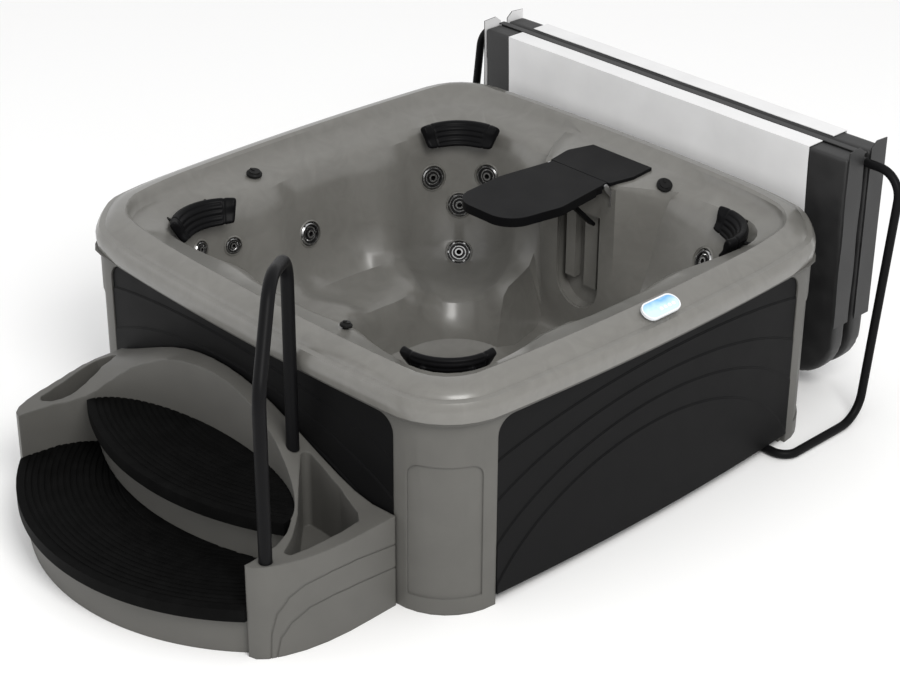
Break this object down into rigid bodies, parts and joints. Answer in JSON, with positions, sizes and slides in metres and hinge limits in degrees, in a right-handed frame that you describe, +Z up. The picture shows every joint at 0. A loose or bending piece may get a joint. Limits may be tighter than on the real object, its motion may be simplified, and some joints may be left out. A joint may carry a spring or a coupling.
{
  "type": "hot tub",
  "caption": "Square moulded hot tub with neck pillows, adjustable jets, a folding table, an entry step with a handrail, and a folding cover on a swing-up lifter.",
  "frame": {"origin": "on the floor under the middle of the tub, at the foot of the base pan", "axes": "+Z up, +X towards the side with the control panel, -Y towards the entry step, +Y towards the folded cover"},
  "size_m": [2.1082, 2.9723, 1.1796],
  "materials": {
    "acrylic": "marbled warm grey acrylic, smooth and glossy",
    "cabinet_grey": "warm grey moulded plastic, fine texture",
    "panel_black": "black moulded plastic, fine texture",
    "pan_black": "black plastic",
    "chrome": "polished stainless trim",
    "jet_dark": "dark grey plastic",
    "knob_dark": "black moulded plastic",
    "pillow": "black skinned foam, satin",
    "bezel": "white plastic, glossy",
    "topside_face": "pale blue printed overlay",
    "button": "white membrane button",
    "table_black": "black plastic, fine texture",
    "steel": "brushed stainless",
    "filter_pleats": "pleated white polyester",
    "mat": "black ribbed rubber",
    "rail_black": "aluminium with black powder coat",
    "lifter_black": "aluminium with black powder coat",
    "vinyl": "charcoal grained vinyl",
    "foam": "white closed-cell foam",
    "liner": "white reinforced lining",
    "pump_grey": "grey motor and wet end",
    "box_grey": "light grey enclosure",
    "pipe_white": "white rigid pipe"
  },
  "bodies": {
    "tub": {"tub_shell": "acrylic", "cabinet": "cabinet_grey", "panel_right": "panel_black", "panel_front": "panel_black", "panel_back": "panel_black", "panel_left": "panel_black", "base_pan": "pan_black", "control_bezel": "bezel", "control_face": "topside_face", "jet_sockets": "acrylic", "jet_bodies": "jet_dark", "ledge_cap": "chrome", "pillow_left": "pillow", "pillow_back": "pillow", "pillow_right": "pillow", "pillow_near": "pillow", "filter_housing": "acrylic", "filter_cartridge": "filter_pleats", "table_hinge": "steel", "drain_cover": "knob_dark", "pump": "pump_grey", "heater": "steel", "control_box": "box_grey", "pipework": "pipe_white", "step_shell": "cabinet_grey", "lower_tread": "mat", "upper_tread": "mat", "handrail": "rail_black", "lifter_bearings": "pan_black"},
    "button_1": {"button_1": "button"},
    "button_2": {"button_2": "button"},
    "button_3": {"button_3": "button"},
    "button_4": {"button_4": "button"},
    "knob_left": {"knob_left": "knob_dark"},
    "knob_back": {"knob_back": "knob_dark"},
    "knob_seats": {"knob_seats": "knob_dark"},
    "jet_back_1": {"jet_back_1": "chrome"},
    "jet_back_2": {"jet_back_2": "chrome"},
    "jet_back_3": {"jet_back_3": "chrome"},
    "jet_back_4": {"jet_back_4": "chrome"},
    "jet_side": {"jet_side": "chrome"},
    "jet_left_1": {"jet_left_1": "chrome"},
    "jet_left_2": {"jet_left_2": "chrome"},
    "jet_right_1": {"jet_right_1": "chrome"},
    "jet_right_2": {"jet_right_2": "chrome"},
    "jet_front": {"jet_front": "chrome"},
    "lid": {"filter_lid": "table_black"},
    "leaf": {"table_leaf": "table_black"},
    "strut": {"table_strut": "table_black"},
    "lifter": {"lifter_frame": "lifter_black"},
    "near_half": {"near_jacket": "vinyl", "near_core": "foam", "near_liner": "liner", "near_skirt": "vinyl", "hinge_strip": "vinyl"},
    "far_half": {"far_jacket": "vinyl", "far_core": "foam", "far_liner": "liner", "far_skirt": "vinyl"}
  },
  "joints": [
    {"name": "button_1_press", "type": "slide", "parent": "tub", "child": "button_1", "axis": [-0.4384, 0, -0.8988], "range_m": [0, 0.0008], "stiffness_N_per_m": 400},
    {"name": "button_2_press", "type": "slide", "parent": "tub", "child": "button_2", "axis": [-0.4384, 0, -0.8988], "range_m": [0, 0.0008], "stiffness_N_per_m": 400},
    {"name": "button_3_press", "type": "slide", "parent": "tub", "child": "button_3", "axis": [-0.4384, 0, -0.8988], "range_m": [0, 0.0008], "stiffness_N_per_m": 400},
    {"name": "button_4_press", "type": "slide", "parent": "tub", "child": "button_4", "axis": [-0.4384, 0, -0.8988], "range_m": [0, 0.0008], "stiffness_N_per_m": 400},
    {"name": "knob_left_turn", "type": "hinge", "parent": "tub", "child": "knob_left", "pos_m": [-0.79739, -0.25141, 0.76249], "axis": [0.1729, 0.0306, 0.9845], "range_deg": [-90, 90]},
    {"name": "knob_back_turn", "type": "hinge", "parent": "tub", "child": "knob_back", "pos_m": [0.29843, 0.75374, 0.77435], "axis": [0.4833, -0.2524, 0.8383], "range_deg": [-90, 90]},
    {"name": "knob_seats_turn", "type": "hinge", "parent": "tub", "child": "knob_seats", "pos_m": [0.31523, -0.78021, 0.7612], "axis": [0.0007, 0.2316, 0.9728], "range_deg": [-90, 90]},
    {"name": "jet_back_1_turn", "type": "hinge", "parent": "tub", "child": "jet_back_1", "pos_m": [-0.52284, 0.67404, 0.5707], "axis": [0.3284, -0.9276, 0.178], "range_deg": [0, 100]},
    {"name": "jet_back_2_turn", "type": "hinge", "parent": "tub", "child": "jet_back_2", "pos_m": [-0.67239, 0.52344, 0.56188], "axis": [0.9212, -0.3455, 0.1788], "range_deg": [0, 100]},
    {"name": "jet_back_3_turn", "type": "hinge", "parent": "tub", "child": "jet_back_3", "pos_m": [-0.59637, 0.59637, 0.44924], "axis": [0.6862, -0.6864, 0.2407], "range_deg": [0, 100]},
    {"name": "jet_back_4_turn", "type": "hinge", "parent": "tub", "child": "jet_back_4", "pos_m": [-0.54523, 0.54523, 0.27844], "axis": [0.5054, -0.5057, 0.6992], "range_deg": [0, 100]},
    {"name": "jet_side_turn", "type": "hinge", "parent": "tub", "child": "jet_side", "pos_m": [-0.70303, -0.07389, 0.50549], "axis": [0.9841, 0.0307, 0.1751], "range_deg": [0, 100]},
    {"name": "jet_left_1_turn", "type": "hinge", "parent": "tub", "child": "jet_left_1", "pos_m": [-0.7161, -0.56758, 0.599], "axis": [0.955, 0.1833, 0.2333], "range_deg": [0, 100]},
    {"name": "jet_left_2_turn", "type": "hinge", "parent": "tub", "child": "jet_left_2", "pos_m": [-0.70583, -0.43084, 0.5735], "axis": [0.9682, -0.1976, 0.1537], "range_deg": [0, 100]},
    {"name": "jet_right_1_turn", "type": "hinge", "parent": "tub", "child": "jet_right_1", "pos_m": [0.69989, 0.54681, 0.582], "axis": [-0.8942, -0.2303, 0.384], "range_deg": [0, 100]},
    {"name": "jet_right_2_turn", "type": "hinge", "parent": "tub", "child": "jet_right_2", "pos_m": [0.54714, 0.70031, 0.582], "axis": [-0.2483, -0.8884, 0.3861], "range_deg": [0, 100]},
    {"name": "jet_front_turn", "type": "hinge", "parent": "tub", "child": "jet_front", "pos_m": [0, -0.70257, 0.497], "axis": [0, 0.9838, 0.1794], "range_deg": [0, 100]},
    {"name": "lid_hinge", "type": "hinge", "parent": "tub", "child": "lid", "pos_m": [0, 0.8, 0.791], "axis": [-1, 0, 0], "range_deg": [0, 95]},
    {"name": "leaf_fold", "type": "hinge", "parent": "tub", "child": "leaf", "pos_m": [0, 0.571, 0.79], "axis": [1, 0, 0], "range_deg": [0, 90]},
    {"name": "strut_fold", "type": "hinge", "parent": "leaf", "child": "strut", "pos_m": [0, 0.421, 0.783], "axis": [1, 0, 0], "range_deg": [-135, 0]},
    {"name": "lifter_swing", "type": "hinge", "parent": "tub", "child": "lifter", "pos_m": [0, 0.62, 0.018], "axis": [1, 0, 0], "range_deg": [0, 45]},
    {"name": "near_half_swing", "type": "hinge", "parent": "lifter", "child": "near_half", "pos_m": [0, 1.145, 0.94], "axis": [1, 0, 0], "range_deg": [0, 135]},
    {"name": "cover_fold", "type": "hinge", "parent": "near_half", "child": "far_half", "pos_m": [0, 1.145, 0.978], "axis": [1, 0, 0], "range_deg": [0, 90]}
  ],
  "couplings": [
    {"joint": "strut_fold", "follows": "leaf_fold", "ratio": -1.5},
    {"joint": "near_half_swing", "follows": "lifter_swing", "ratio": 3}
  ]
}
